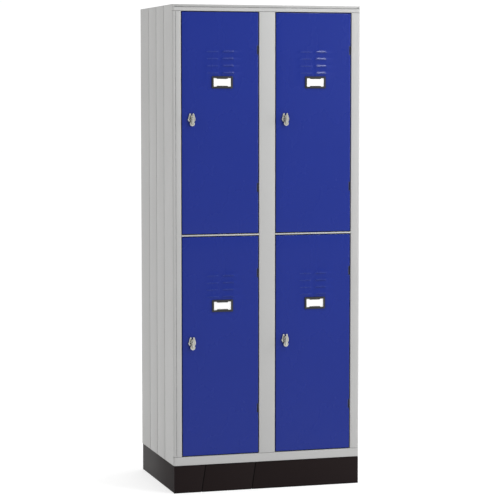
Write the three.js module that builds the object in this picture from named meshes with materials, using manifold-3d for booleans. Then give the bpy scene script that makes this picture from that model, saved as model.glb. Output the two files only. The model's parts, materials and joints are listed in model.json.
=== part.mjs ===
// A two-tier school locker with four doors: a folded sheet-metal carcass on a plinth, pan-shaped doors with
// pressed louvres on right-hand hinges, and a padlock turn latch on each door.
//
// Millimetres, +Z up. X runs along the front, +Y from the front to the back. The origin is on the floor,
// under the middle of the whole locker, latches included.

import * as THREE from 'three';
import { mergeVertices } from 'three/addons/utils/BufferGeometryUtils.js';
import Module from 'manifold-3d';

const wasm = await Module();
wasm.setup();

// Driving dimensions: the whole locker
const WIDTH = 724;
const DEPTH = 500;
const HEIGHT = 1800;
const PLINTH_HEIGHT = 103;
const SHEET = 1;                 // carcass and door sheet
const PLINTH_SHEET = 1.5;
const PLINTH_INSET = 2;          // how far the plinth stands in from the carcass all round
const FIT = 0.3;                 // gap between pieces that touch

// Driving dimensions: the front frame
const LEFT_POST = 32;            // face width; the right post carries hinges and is wider
const MIDDLE_POST = 62.5;
const RIGHT_POST = 36;
const TOP_RAIL = 24;             // from the door openings to the top of the locker
const TOP_FOLD = 9.5;            // height of the top panel's front fold
const TOP_FOLD_SLOPE = 3;        // how far the fold leans back
const BOTTOM_RAIL = 33;
const CROSSBAR = 6;              // face height of the bar between the tiers
const FRAME_DEPTH = 19.5;        // depth of the frame's folded returns
const STOP_LIP = 10;             // width of the lip behind a door's lock edge
const CORNER_RADIUS = 8;         // rounded front corners of the carcass
const SIDE_LAP = 9;              // depth at which the side panels meet the front frame
const CREASE_PITCH = 116;        // between the three upright creases of a side panel
const CREASE_WIDTH = 5;
const CREASE_DEPTH = 2;

// Driving dimensions: the doors
const DOOR_GAP = 2.4;
const DOOR_FLANGE = 18;          // depth of the door's folded edges
const HINGE_INSET = 6;           // hinge pin from the door's right edge
const HINGE_DEPTH = 4.5;         // hinge pin behind the door's face
const HINGE_DROP = 140;          // upper hinge below the top of the opening
const HINGE_RISE = 171;          // lower hinge above the bottom of the opening
const HINGE_BARREL = 3;          // radius
const HINGE_PIN = 2;             // radius
const NOTCH_WIDTH = 7;
const NOTCH_HEIGHT = 33;
const NOTCH_DEPTH = 12;
const LOUVRE_DROPS = [138, 164, 190, 216];   // below the top of the opening
const LOUVRE_CENTRES = [-30, 30];            // from the middle of the door
const LOUVRE_LENGTH = 42;
const LOUVRE_HEIGHT = 7;
const LOUVRE_PROUD = 3;
const LABEL_DROP = 259;          // label centre below the top of the opening
const LABEL_SHIFT = 7;           // label centre right of the middle of the door
const LOCK_DROP = 394;           // lock centre below the top of the opening
const LOCK_SETBACK = 39;         // lock centre from the left edge of the opening
const STIFFENER_START = 62;      // from the door's left edge
const STIFFENER_WIDTH = 32;

// Driving dimensions: the latch
const LATCH_PROUD = 18.5;        // how far the knob stands out from the doors
const LEVER_BACK = 6.3;          // underside of the lever, out from the door
const LEVER_FRONT = 12.5;
const PLATE_THICKNESS = 3;
const SPINDLE_RADIUS = 6;
const CAM_FRONT = 21;            // depth of the cam behind the door's face
const CAM_BACK = 24;
const CAM_REACH = 42;

// Worked out from the driving dimensions. Inside the locker group, y is the depth behind the front face.
const FRONT = -(DEPTH + LATCH_PROUD) / 2 + LATCH_PROUD;
const HALF = WIDTH / 2;
const OPENING_WIDTH = (WIDTH - LEFT_POST - MIDDLE_POST - RIGHT_POST) / 2;
const MIDDLE = (LEFT_POST - RIGHT_POST) / 2;     // x of the middle post and the divider
const OPENINGS_BOTTOM = PLINTH_HEIGHT + BOTTOM_RAIL;
const OPENINGS_TOP = HEIGHT - TOP_RAIL;
const OPENING_HEIGHT = (OPENINGS_TOP - OPENINGS_BOTTOM - CROSSBAR) / 2;
const CROSSBAR_BOTTOM = OPENINGS_BOTTOM + OPENING_HEIGHT;
const DOOR_WIDTH = OPENING_WIDTH - 2 * DOOR_GAP;
const DOOR_HEIGHT = OPENING_HEIGHT - 2 * DOOR_GAP;
const INSIDE_TOP = HEIGHT - SHEET - FIT;
const INSIDE_BACK = DEPTH - SHEET - FIT;

const FINISHES = {
  frame: { color: 0xbdbdb9, roughness: 0.45, metalness: 0.1 },
  door: { color: 0x2c3a94, roughness: 0.4, metalness: 0.1 },
  plinth: { color: 0x262122, roughness: 0.6, metalness: 0.1 },
  zinc: { color: 0xa9aaa6, roughness: 0.35, metalness: 0.9 },
  steel: { color: 0x6a6c70, roughness: 0.4, metalness: 0.9 },
  label_frame: { color: 0x232422, roughness: 0.5, metalness: 0.0 },
  card: { color: 0xf2f2ee, roughness: 0.8, metalness: 0.0 },
};

// ---------------------------------------------------------------- geometry helpers

// A solid block between two corners.
function block([x0, y0, z0], [x1, y1, z1]) {
  const geometry = new THREE.BoxGeometry(x1 - x0, y1 - y0, z1 - z0);
  return geometry.translate((x0 + x1) / 2, (y0 + y1) / 2, (z0 + z1) / 2);
}

function outline(points) {
  return new THREE.Shape(points.map(([a, b]) => new THREE.Vector2(a, b)));
}

// Points on an arc, angles in degrees.
function arc(centreA, centreB, radius, from, to, steps = 6) {
  const points = [];
  for (let i = 0; i <= steps; i += 1) {
    const angle = THREE.MathUtils.degToRad(from + ((to - from) * i) / steps);
    points.push([centreA + radius * Math.cos(angle), centreB + radius * Math.sin(angle)]);
  }
  return points;
}

// The outline of a folded sheet. The path is its outer face; the sheet lies to the left of the path.
function foldedSheet(path, thickness = SHEET) {
  const corners = path.map(([a, b]) => new THREE.Vector2(a, b));
  const normals = corners.slice(1).map((corner, i) => {
    const along = corner.clone().sub(corners[i]).normalize();
    return new THREE.Vector2(-along.y, along.x);
  });
  const inner = corners.map((corner, i) => {
    const before = normals[Math.max(i - 1, 0)];
    const after = normals[Math.min(i, normals.length - 1)];
    const mitre = before.clone().add(after);
    return corner.clone().add(mitre.multiplyScalar((2 * thickness) / mitre.lengthSq()));
  });
  return new THREE.Shape([...corners, ...inner.reverse()]);
}

function extrude(shape, length) {
  return new THREE.ExtrudeGeometry(shape, { depth: length, bevelEnabled: false, curveSegments: 12 });
}

// A plan outline (x, y) raised from bottom to top.
function upright(shape, bottom, top) {
  return extrude(shape, top - bottom).translate(0, 0, bottom);
}

// A side outline (y, z) carried from left to right.
function sideways(shape, left, right) {
  const turn = new THREE.Matrix4().set(0, 0, 1, 0, 1, 0, 0, 0, 0, 1, 0, 0, 0, 0, 0, 1);
  return extrude(shape, right - left).applyMatrix4(turn).translate(left, 0, 0);
}

// A front outline (x, z) carried from front to back.
function facing(shape, front, back) {
  return extrude(shape, back - front).rotateX(Math.PI / 2).translate(0, back, 0);
}

// A cylinder along the y axis, centred on (x, z).
function rod(radius, front, back, x = 0, z = 0, sides = 24) {
  const geometry = new THREE.CylinderGeometry(radius, radius, back - front, sides);
  return geometry.translate(x, (front + back) / 2, z);
}

// A cylinder along the z axis, centred on (x, y).
function post(radius, bottom, top, x, y, sides = 16) {
  const geometry = new THREE.CylinderGeometry(radius, radius, top - bottom, sides);
  return geometry.rotateX(Math.PI / 2).translate(x, y, (bottom + top) / 2);
}

function toSolid(geometry) {
  const bare = geometry.clone();
  bare.deleteAttribute('normal');
  bare.deleteAttribute('uv');
  const merged = mergeVertices(bare, 1e-4);
  return new wasm.Manifold(new wasm.Mesh({
    numProp: 3,
    vertProperties: new Float32Array(merged.attributes.position.array),
    triVerts: new Uint32Array(merged.index.array),
  }));
}

function toGeometry(solid) {
  const mesh = solid.getMesh();
  const geometry = new THREE.BufferGeometry();
  geometry.setAttribute('position', new THREE.BufferAttribute(mesh.vertProperties, 3));
  geometry.setIndex(new THREE.BufferAttribute(mesh.triVerts, 1));
  geometry.computeVertexNormals();
  return geometry;
}

function join(first, ...others) {
  return toGeometry(others.reduce((solid, other) => solid.add(toSolid(other)), toSolid(first)));
}

function cut(first, ...tools) {
  return toGeometry(tools.reduce((solid, tool) => solid.subtract(toSolid(tool)), toSolid(first)));
}

function piece(name, geometry, finish) {
  const mesh = new THREE.Mesh(geometry, new THREE.MeshStandardMaterial(FINISHES[finish]));
  mesh.name = name;
  return mesh;
}

// ---------------------------------------------------------------- front frame

// The plan of a full-width rail's face: it turns back round both front corners.
function railPlan() {
  const centre = HALF - CORNER_RADIUS;
  return foldedSheet([
    [-HALF, SIDE_LAP],
    ...arc(-centre, CORNER_RADIUS, CORNER_RADIUS, 180, 270),
    ...arc(centre, CORNER_RADIUS, CORNER_RADIUS, 270, 360),
    [HALF, SIDE_LAP],
  ]);
}

// A rail's horizontal return, behind its face.
function railReturn(bottom, depth) {
  const end = HALF - SIDE_LAP;
  return block([-end, SHEET / 2, bottom], [end, depth, bottom + SHEET]);
}

function topRail() {
  const faceTop = HEIGHT - TOP_FOLD - FIT;
  const face = upright(railPlan(), OPENINGS_TOP, faceTop);
  const corners = upright(railPlan(), faceTop - SHEET, INSIDE_TOP);
  const between = HALF - CORNER_RADIUS;
  const window = block([-between, -1, faceTop], [between, DEPTH, HEIGHT]);
  const returns = [railReturn(OPENINGS_TOP, FRAME_DEPTH), railReturn(faceTop - SHEET, FRAME_DEPTH)];
  return join(cut(corners, window), face, ...returns);
}

function bottomRail() {
  const face = upright(railPlan(), PLINTH_HEIGHT, OPENINGS_BOTTOM);
  const lower = railReturn(PLINTH_HEIGHT, FRAME_DEPTH);
  return join(face, railReturn(OPENINGS_BOTTOM - SHEET, FRAME_DEPTH), lower);
}

const POST_BOTTOM = OPENINGS_BOTTOM + FIT;
const POST_TOP = OPENINGS_TOP - FIT;

// The left post turns back at the lock edge of the left doors and ends in their stop lip.
function leftPost() {
  const edge = -HALF + LEFT_POST;
  const plan = foldedSheet([
    [-HALF, SIDE_LAP],
    ...arc(-HALF + CORNER_RADIUS, CORNER_RADIUS, CORNER_RADIUS, 180, 270),
    [edge, 0],
    [edge, FRAME_DEPTH],
    [edge + STOP_LIP, FRAME_DEPTH],
  ]);
  return upright(plan, POST_BOTTOM, POST_TOP);
}

// The middle post carries the left doors' hinges and the right doors' stop lip.
function middlePost() {
  const left = MIDDLE - MIDDLE_POST / 2;
  const right = MIDDLE + MIDDLE_POST / 2;
  const plan = foldedSheet([
    [left, FRAME_DEPTH],
    [left, 0],
    [right, 0],
    [right, FRAME_DEPTH],
    [right + STOP_LIP, FRAME_DEPTH],
  ]);
  return upright(plan, POST_BOTTOM, POST_TOP);
}

function rightPost() {
  const plan = foldedSheet([
    [HALF - RIGHT_POST, FRAME_DEPTH],
    [HALF - RIGHT_POST, 0],
    ...arc(HALF - CORNER_RADIUS, CORNER_RADIUS, CORNER_RADIUS, 270, 360),
    [HALF, SIDE_LAP],
  ]);
  return upright(plan, POST_BOTTOM, POST_TOP);
}

// The thin bar between the tiers, a narrow channel open at the back.
function crossbar(left) {
  const top = CROSSBAR_BOTTOM + CROSSBAR;
  const side = foldedSheet([
    [FRAME_DEPTH, top],
    [0, top],
    [0, CROSSBAR_BOTTOM],
    [FRAME_DEPTH, CROSSBAR_BOTTOM],
  ]);
  return sideways(side, left + FIT, left + OPENING_WIDTH - FIT);
}

// ---------------------------------------------------------------- carcass panels

// A side panel with three upright creases pressed inwards. side is -1 on the left and 1 on the right.
function sidePanel(side) {
  const middle = DEPTH / 2;
  const outer = [[side * HALF, SIDE_LAP + FIT]];
  for (const place of [middle - CREASE_PITCH, middle, middle + CREASE_PITCH]) {
    outer.push([side * HALF, place - CREASE_WIDTH / 2]);
    outer.push([side * (HALF - CREASE_DEPTH), place]);
    outer.push([side * HALF, place + CREASE_WIDTH / 2]);
  }
  outer.push([side * HALF, DEPTH]);
  const path = side < 0 ? outer.reverse() : outer;
  return upright(foldedSheet(path), PLINTH_HEIGHT, INSIDE_TOP);
}

// The top panel: a flat sheet with rounded front corners and a front fold that leans back.
function topPanel() {
  const plan = outline([
    ...arc(-HALF + CORNER_RADIUS, CORNER_RADIUS, CORNER_RADIUS, 180, 270),
    ...arc(HALF - CORNER_RADIUS, CORNER_RADIUS, CORNER_RADIUS, 270, 360),
    [HALF, DEPTH],
    [-HALF, DEPTH],
  ]);
  const fold = foldedSheet([
    [CORNER_RADIUS, HEIGHT],
    [0, HEIGHT],
    [TOP_FOLD_SLOPE, HEIGHT - TOP_FOLD],
  ]);
  const end = HALF - CORNER_RADIUS - FIT;
  return join(upright(plan, HEIGHT - SHEET, HEIGHT), sideways(fold, -end, end));
}

function panels() {
  const inner = HALF - SHEET - FIT;
  const shelfFront = FRAME_DEPTH + SHEET + FIT;
  const shelfBottom = CROSSBAR_BOTTOM + CROSSBAR / 2 - SHEET / 2;
  const shelfTop = shelfBottom + SHEET;
  const creaseClear = inner - CREASE_DEPTH;
  const left = MIDDLE - SHEET / 2;
  const right = MIDDLE + SHEET / 2;
  const floor = block(
    [-creaseClear, FRAME_DEPTH + FIT, OPENINGS_BOTTOM - SHEET],
    [creaseClear, INSIDE_BACK, OPENINGS_BOTTOM],
  );
  const divider = block([left, FRAME_DEPTH + FIT, POST_BOTTOM], [right, INSIDE_BACK, INSIDE_TOP]);
  const leftShelf = block([-creaseClear, shelfFront, shelfBottom], [left - FIT, INSIDE_BACK, shelfTop]);
  const rightShelf = block([right + FIT, shelfFront, shelfBottom], [creaseClear, INSIDE_BACK, shelfTop]);
  return [
    piece('side_panel_left', sidePanel(-1), 'frame'),
    piece('side_panel_right', sidePanel(1), 'frame'),
    piece('back_panel', block([-inner, DEPTH - SHEET, PLINTH_HEIGHT], [inner, DEPTH, INSIDE_TOP]), 'frame'),
    piece('top_panel', topPanel(), 'frame'),
    piece('floor_panel', floor, 'frame'),
    piece('divider_panel', divider, 'frame'),
    piece('shelf_left', leftShelf, 'frame'),
    piece('shelf_right', rightShelf, 'frame'),
  ];
}

function frontFrame() {
  const leftOpening = -HALF + LEFT_POST;
  const rightOpening = MIDDLE + MIDDLE_POST / 2;
  return [
    piece('top_rail', topRail(), 'frame'),
    piece('bottom_rail', bottomRail(), 'frame'),
    piece('left_post', leftPost(), 'frame'),
    piece('middle_post', middlePost(), 'frame'),
    piece('right_post', rightPost(), 'frame'),
    piece('crossbar_left', crossbar(leftOpening), 'frame'),
    piece('crossbar_right', crossbar(rightOpening), 'frame'),
  ];
}

// ---------------------------------------------------------------- plinth

const PLINTH_FLANGE = 25;
const PLINTH_TOP = PLINTH_HEIGHT - FIT;
const SEAM_WIDTH = 1.2;
const SEAM_DEPTH = 0.7;
const SEAM_RAKE = 16;            // how far a seam leans to the left from its top to its bottom
const SEAM_TOPS = [-241, -47];   // x of each seam's top

// A channel lying on its back: a face with a flange at its foot and one at its head.
function plinthChannel(length) {
  const t = PLINTH_SHEET;
  const face = block([0, 0, 0], [length, t, PLINTH_TOP]);
  const foot = block([PLINTH_FLANGE, t / 2, 0], [length - PLINTH_FLANGE, PLINTH_FLANGE, t]);
  const head = foot.clone().translate(0, 0, PLINTH_TOP - t);
  return join(face, foot, head);
}

function seam(top) {
  const shape = outline([
    [top, PLINTH_HEIGHT],
    [top + SEAM_WIDTH, PLINTH_HEIGHT],
    [top + SEAM_WIDTH - SEAM_RAKE, -1],
    [top - SEAM_RAKE, -1],
  ]);
  return facing(shape, PLINTH_INSET - 1, PLINTH_INSET + SEAM_DEPTH);
}

function plinth() {
  const near = PLINTH_INSET;
  const far = DEPTH - PLINTH_INSET;
  const edge = HALF - PLINTH_INSET;
  const between = PLINTH_SHEET + FIT;
  const sideLength = far - near - 2 * between;
  const front = plinthChannel(2 * edge).translate(-edge, near, 0);
  const back = plinthChannel(2 * edge).rotateZ(Math.PI).translate(edge, far, 0);
  const left = plinthChannel(sideLength).rotateZ(-Math.PI / 2).translate(-edge, far - between, 0);
  const right = plinthChannel(sideLength).rotateZ(Math.PI / 2).translate(edge, near + between, 0);
  return [
    piece('plinth_front', cut(front, ...SEAM_TOPS.map(seam)), 'plinth'),
    piece('plinth_back', back, 'plinth'),
    piece('plinth_left_side', left, 'plinth'),
    piece('plinth_right_side', right, 'plinth'),
  ];
}

// ---------------------------------------------------------------- doors
// A door is drawn about the middle of its bottom edge: x to the right, y behind its face, z up.

const DOOR_HALF = DOOR_WIDTH / 2;
const OPENING_TOP_ON_DOOR = DOOR_HEIGHT + DOOR_GAP;
const HINGE_X = DOOR_HALF - HINGE_INSET;
const HINGE_HEIGHTS = [HINGE_RISE - DOOR_GAP, OPENING_TOP_ON_DOOR - HINGE_DROP];
const LOCK_X = -DOOR_HALF - DOOR_GAP + LOCK_SETBACK;
const LOCK_Z = OPENING_TOP_ON_DOOR - LOCK_DROP;
const TAB_THICKNESS = 1.5;
const TAB_BACK = 10.5;
const LOCK_HOLE = 8;             // radius of the hole in the door for the latch's spindle

// A louvre's pressed hood, open along its bottom, and the slot behind it.
function louvreHood(x, z) {
  const side = foldedSheet([
    [0.5, z + LOUVRE_HEIGHT / 2],
    [0, z + LOUVRE_HEIGHT / 2],
    [-LOUVRE_PROUD, z + 0.5],
    [-LOUVRE_PROUD, z - LOUVRE_HEIGHT / 2],
  ]);
  return sideways(side, x - LOUVRE_LENGTH / 2, x + LOUVRE_LENGTH / 2);
}

function louvreSlot(x, z) {
  const reach = LOUVRE_LENGTH / 2 - 1;
  return block([x - reach, -1, z - LOUVRE_HEIGHT / 2], [x + reach, 2, z + 1.5]);
}

// The two folded tabs above and below a hinge notch that turn on the hinge's pin.
function hingeTabs(height) {
  const left = HINGE_X - 7;
  const right = DOOR_HALF - SHEET / 2;
  const above = height + NOTCH_HEIGHT / 2;
  const below = height - NOTCH_HEIGHT / 2;
  return [
    block([left, SHEET / 2, above], [right, TAB_BACK, above + TAB_THICKNESS]),
    block([left, SHEET / 2, below - TAB_THICKNESS], [right, TAB_BACK, below]),
  ];
}

function hingeNotch(height) {
  const half = NOTCH_HEIGHT / 2;
  return block(
    [DOOR_HALF - NOTCH_WIDTH, -1, height - half],
    [DOOR_HALF + 1, NOTCH_DEPTH, height + half],
  );
}

function doorPanel() {
  const inner = DOOR_HALF - SHEET;
  const outside = block([-DOOR_HALF, 0, 0], [DOOR_HALF, DOOR_FLANGE, DOOR_HEIGHT]);
  const pan = cut(outside, block([-inner, SHEET, SHEET], [inner, DOOR_FLANGE + 1, DOOR_HEIGHT - SHEET]));
  const louvres = LOUVRE_DROPS.flatMap((drop) => LOUVRE_CENTRES.map((x) => [x, OPENING_TOP_ON_DOOR - drop]));
  const slotted = cut(
    pan,
    ...louvres.map(([x, z]) => louvreSlot(x, z)),
    ...HINGE_HEIGHTS.map(hingeNotch),
    rod(LOCK_HOLE, -1, 2, LOCK_X, LOCK_Z),
  );
  const hoods = louvres.map(([x, z]) => louvreHood(x, z));
  const pinHoles = HINGE_HEIGHTS.map(
    (height) => post(HINGE_PIN + 0.2, height - 30, height + 30, HINGE_X, HINGE_DEPTH),
  );
  return cut(join(slotted, ...HINGE_HEIGHTS.flatMap(hingeTabs), ...hoods), ...pinHoles);
}

// The hat-shaped channel behind the door's skin.
function doorStiffener() {
  const left = -DOOR_HALF + STIFFENER_START;
  const right = left + STIFFENER_WIDTH;
  const brim = 8;
  const near = SHEET + FIT;
  const far = near + 12;
  const plan = foldedSheet([
    [left, near],
    [left + brim, near],
    [left + brim, far],
    [right - brim, far],
    [right - brim, near],
    [right, near],
  ]);
  return upright(plan, 20, DOOR_HEIGHT - 20);
}

// ---------------------------------------------------------------- label holder
// Drawn about its own centre on the door's face.

const LABEL_WIDTH = 80;
const LABEL_HEIGHT = 44;
const LABEL_WINDOW = 68;
const LABEL_WINDOW_END = 33;     // window height at its two ends
const LABEL_WINDOW_WAIST = 27;   // window height between them
const LABEL_END_LENGTH = 11;
const LABEL_STEP = 3;            // length of the slope from end to waist
const CARD_WIDTH = 72;
const CARD_HEIGHT = 37;
const CARD_FRONT = -0.8;
const CARD_BACK = -FIT;
const LABEL_FRONT = -2.6;

function roundedRectangle(width, height, radius) {
  const a = width / 2 - radius;
  const b = height / 2 - radius;
  return outline([
    ...arc(a, b, radius, 0, 90, 4),
    ...arc(-a, b, radius, 90, 180, 4),
    ...arc(-a, -b, radius, 180, 270, 4),
    ...arc(a, -b, radius, 270, 360, 4),
  ]);
}

function labelWindow() {
  const end = LABEL_WINDOW / 2;
  const step = end - LABEL_END_LENGTH;
  const tall = LABEL_WINDOW_END / 2;
  const low = LABEL_WINDOW_WAIST / 2;
  const upper = [[end, tall], [step, tall], [step - LABEL_STEP, low]];
  const corners = [
    ...upper,
    ...upper.map(([x, z]) => [-x, z]).reverse(),
    ...upper.map(([x, z]) => [-x, -z]),
    ...upper.map(([x, z]) => [x, -z]).reverse(),
  ];
  return facing(outline(corners), LABEL_FRONT - 1, 1);
}

function labelFrame() {
  const plate = facing(roundedRectangle(LABEL_WIDTH, LABEL_HEIGHT, 3), LABEL_FRONT, -FIT);
  const halfCard = [CARD_WIDTH / 2 + FIT, CARD_HEIGHT / 2 + FIT];
  const pocket = block([-halfCard[0], CARD_FRONT - FIT, -halfCard[1]], [halfCard[0], 1, halfCard[1]]);
  return cut(plate, labelWindow(), pocket);
}

function labelCard() {
  return facing(roundedRectangle(CARD_WIDTH, CARD_HEIGHT, 1), CARD_FRONT, CARD_BACK);
}

// ---------------------------------------------------------------- latch
// Drawn about the spindle's axis where it meets the door's face.

const EAR_X = -8.5;
const EAR_RADIUS = 6.5;
const EAR_FRONT = -5.6;
const EAR_HOLE = 2.7;
const ROSE_RADIUS = 13.5;

// Two horns that rise from the rose, with a notch between them.
function hornOutline() {
  return outline([
    [13, 3],
    ...arc(6.1, 18.7, 2.9, 15, 165, 8),
    ...arc(0, 12.6, 3.2, 0, -180, 8),
    ...arc(-6.1, 18.7, 2.9, 15, 165, 8),
    [-13, 3],
  ]);
}

function lockPlate() {
  const rose = rod(ROSE_RADIUS, -FIT - PLATE_THICKNESS, -FIT, 0, 0, 32);
  const horns = facing(hornOutline(), -FIT - PLATE_THICKNESS, -FIT);
  const ear = rod(EAR_RADIUS, EAR_FRONT, -FIT, EAR_X, 0);
  const earHole = rod(EAR_HOLE, EAR_FRONT - 1, -1.5, EAR_X, 0, 16);
  const spindleHole = rod(SPINDLE_RADIUS + FIT, -10, 1);
  return cut(join(rose, horns, ear), earHole, spindleHole);
}

// The lever: a slender arm over the spindle that ends in a round grip below it.
function leverOutline() {
  const shape = new THREE.Shape();
  shape.moveTo(-4.8, 2);
  shape.bezierCurveTo(-4.8, 5, -5.4, 7, -5.4, 9);
  shape.absarc(0, 9, 5.4, Math.PI, 0, true);
  shape.bezierCurveTo(5.4, 7, 4.8, 5, 4.8, 2);
  shape.bezierCurveTo(4.8, -6, 6.2, -8, 8.2, -12.5);
  shape.absarc(0, -15.5, 9, 0.35, -Math.PI - 0.35, true);
  shape.bezierCurveTo(-6.2, -8, -4.8, -6, -4.8, 2);
  return shape;
}

function latchKnob() {
  const lever = facing(leverOutline(), -LEVER_FRONT, -LEVER_BACK);
  const grip = outline([...arc(35, 0, 38, 160, 200, 8), ...arc(-35, 0, 38, -20, 20, 8)]);
  const ridge = facing(grip, -LATCH_PROUD, -LEVER_FRONT + 1).translate(0, 0, -4.5);
  const spindle = rod(SPINDLE_RADIUS, -LEVER_BACK - 1, CAM_FRONT - FIT);
  const square = block([-3.5, CAM_FRONT - 1, -3.5], [3.5, CAM_BACK + 1, 3.5]);
  const screwHead = rod(SPINDLE_RADIUS, CAM_BACK + FIT, CAM_BACK + 2.3);
  return join(lever, ridge, spindle, square, screwHead);
}

function latchCam() {
  const blade = outline([...arc(0, CAM_REACH - 6, 6, 0, 180, 8), ...arc(0, 0, 9, 200, 340, 10)]);
  const hole = block([-3.8, CAM_FRONT - 1, -3.8], [3.8, CAM_BACK + 1, 3.8]);
  return cut(facing(blade, CAM_FRONT, CAM_BACK), hole);
}

// ---------------------------------------------------------------- hinges
// Drawn about the middle of the pin, with the post's return to the right.

function hinge() {
  const barrelHalf = NOTCH_HEIGHT / 2 - FIT;
  const pinHalf = NOTCH_HEIGHT / 2 + TAB_THICKNESS + 2;
  const leafHalf = 14.5;
  const leaf = 1.2;
  const leafFront = HINGE_BARREL - leaf;
  const leafRight = HINGE_INSET + DOOR_GAP - FIT;
  const leafEnd = FRAME_DEPTH - HINGE_DEPTH;
  return join(
    post(HINGE_BARREL, -barrelHalf, barrelHalf, 0, 0),
    post(HINGE_PIN, -pinHalf, pinHalf, 0, 0),
    block([0, leafFront, -leafHalf], [leafRight, HINGE_BARREL, leafHalf]),
    block([leafRight - leaf, leafFront, -leafHalf], [leafRight, leafEnd, leafHalf]),
  );
}

// ---------------------------------------------------------------- coat hooks

const HOOK_RAIL_LENGTH = 240;
const HOOK_RAIL_HEIGHT = 25;
const HOOK_RAIL_DROP = 95;       // below the compartment's ceiling
const HOOK_PITCH = 80;

// Drawn about the middle of the bar's back face.
function hookRail() {
  const half = [HOOK_RAIL_LENGTH / 2, HOOK_RAIL_HEIGHT / 2];
  const bar = block([-half[0], -2, -half[1]], [half[0], 0, half[1]]);
  const side = foldedSheet([[-1, 2], [-28, -6], [-36, 0], [-38, 12]], 3);
  const hooks = [-HOOK_PITCH, 0, HOOK_PITCH].map((x) => sideways(side, x - 5, x + 5));
  return join(bar, ...hooks);
}

// ---------------------------------------------------------------- assembly

const locker = new THREE.Group();
locker.position.y = FRONT;
locker.add(...panels(), ...frontFrame(), ...plinth());

const shared = {
  door: doorPanel(),
  stiffener: doorStiffener(),
  labelFrame: labelFrame(),
  labelCard: labelCard(),
  lockPlate: lockPlate(),
  knob: latchKnob(),
  cam: latchCam(),
  hinge: hinge(),
  hookRail: hookRail(),
};

const COLUMNS = {
  left: MIDDLE - MIDDLE_POST / 2 - OPENING_WIDTH / 2,
  right: MIDDLE + MIDDLE_POST / 2 + OPENING_WIDTH / 2,
};
const TIERS = {
  lower: OPENINGS_BOTTOM + DOOR_GAP,
  upper: CROSSBAR_BOTTOM + CROSSBAR + DOOR_GAP,
};

function placed(group, x, y, z) {
  group.position.set(x, y, z);
  return group;
}

function door(name) {
  const label = placed(new THREE.Group(), LABEL_SHIFT, 0, OPENING_TOP_ON_DOOR - LABEL_DROP);
  label.add(piece(`label_frame_${name}`, shared.labelFrame, 'label_frame'));
  label.add(piece(`label_card_${name}`, shared.labelCard, 'card'));
  const lock = placed(new THREE.Group(), LOCK_X, 0, LOCK_Z);
  lock.add(piece(`lock_plate_${name}`, shared.lockPlate, 'zinc'));
  lock.add(piece(`latch_knob_${name}`, shared.knob, 'zinc'));
  lock.add(piece(`latch_cam_${name}`, shared.cam, 'steel'));
  const group = new THREE.Group();
  group.add(piece(`door_panel_${name}`, shared.door, 'door'));
  group.add(piece(`door_stiffener_${name}`, shared.stiffener, 'door'));
  group.add(label, lock);
  return group;
}

function doorHinges(name) {
  const group = new THREE.Group();
  ['lower', 'upper'].forEach((place, i) => {
    const mesh = piece(`hinge_${place}_of_${name}_door`, shared.hinge, 'steel');
    group.add(placed(mesh, HINGE_X, HINGE_DEPTH, HINGE_HEIGHTS[i]));
  });
  return group;
}

for (const [tier, bottom] of Object.entries(TIERS)) {
  for (const [column, x] of Object.entries(COLUMNS)) {
    const name = `${tier}_${column}`;
    const hooks = piece(`hook_rail_${name}`, shared.hookRail, 'steel');
    const hookHeight = bottom + DOOR_HEIGHT - HOOK_RAIL_DROP;
    locker.add(placed(door(name), x, 0, bottom));
    locker.add(placed(doorHinges(name), x, 0, bottom));
    locker.add(placed(hooks, x, INSIDE_BACK, hookHeight));
  }
}

export default locker;
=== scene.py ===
"""The looks of a four-door school locker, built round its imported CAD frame.

Sections are drawn in millimetres and turned into metres when a mesh is finished. X runs along the front,
Y from the front to the back and Z up, as in the frame. "Depth" is the distance behind the front face.
"""

import json
import math

import bmesh
import bpy
from mathutils import Matrix, Vector


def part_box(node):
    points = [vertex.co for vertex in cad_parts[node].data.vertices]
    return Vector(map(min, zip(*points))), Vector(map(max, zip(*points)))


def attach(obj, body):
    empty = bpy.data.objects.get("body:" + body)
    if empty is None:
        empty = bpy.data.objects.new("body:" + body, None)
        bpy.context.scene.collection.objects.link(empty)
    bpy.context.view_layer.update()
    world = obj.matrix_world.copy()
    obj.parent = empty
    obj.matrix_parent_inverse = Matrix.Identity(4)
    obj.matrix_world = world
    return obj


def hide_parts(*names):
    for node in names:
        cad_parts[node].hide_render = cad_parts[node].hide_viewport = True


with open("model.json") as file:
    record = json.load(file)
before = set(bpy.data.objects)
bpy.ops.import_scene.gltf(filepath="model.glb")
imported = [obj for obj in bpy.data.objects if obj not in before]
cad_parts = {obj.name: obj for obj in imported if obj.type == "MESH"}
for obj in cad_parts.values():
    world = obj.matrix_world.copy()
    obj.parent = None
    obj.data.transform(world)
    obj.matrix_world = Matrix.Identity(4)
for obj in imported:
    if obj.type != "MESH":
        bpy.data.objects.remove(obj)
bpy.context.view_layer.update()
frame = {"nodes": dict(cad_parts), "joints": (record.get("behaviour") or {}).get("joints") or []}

MM = 0.001
SHEET = 1.0
DOORS = ["lower_left", "lower_right", "upper_left", "upper_right"]


def corners(node):
    """A CAD node's lowest and highest corners, in millimetres."""
    low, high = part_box(node)
    return low / MM, high / MM


def joint_place(name):
    """Where a joint's axis passes, in millimetres."""
    found = next(joint for joint in frame["joints"] if joint["name"] == name)
    return Vector(found["pos_m"]) / MM


FRONT = corners("crossbar_left")[0].y


# ---------------------------------------------------------------- camera

CAMERA_PLACE = (-2.145, -7.24675, 1.485)
CAMERA_YAW = 16.51
CAMERA_PITCH = -4.59
CAMERA_LENS = 142.5


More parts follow.
